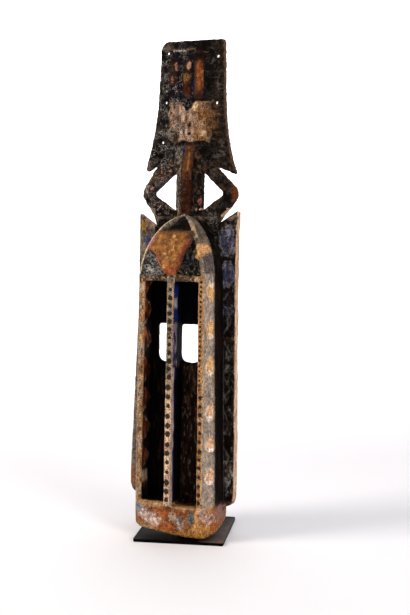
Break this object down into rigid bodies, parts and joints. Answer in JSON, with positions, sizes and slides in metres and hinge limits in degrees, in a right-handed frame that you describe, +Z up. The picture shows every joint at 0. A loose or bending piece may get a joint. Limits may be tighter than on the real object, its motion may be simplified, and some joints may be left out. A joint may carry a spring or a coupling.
{
  "type": "carved wooden mask on a display stand",
  "caption": "Tall carved wooden face mask with two slots, a domed brow, bent limbs and a flared crest panel, held upright by a rod on a square steel plate.",
  "frame": {"origin": "middle of the base plate's underside", "axes": "+Z up along the mask's height, -Y towards the front of the mask, +X to the viewer's right"},
  "size_m": [0.1931, 0.1742, 0.8274],
  "materials": {
    "carved_wood": "burnt, painted and worn",
    "blackened_steel": "satin"
  },
  "bodies": {
    "root": {"wooden_mask": "carved_wood", "stand_base_plate": "blackened_steel", "stand_rod": "blackened_steel"}
  },
  "joints": []
}
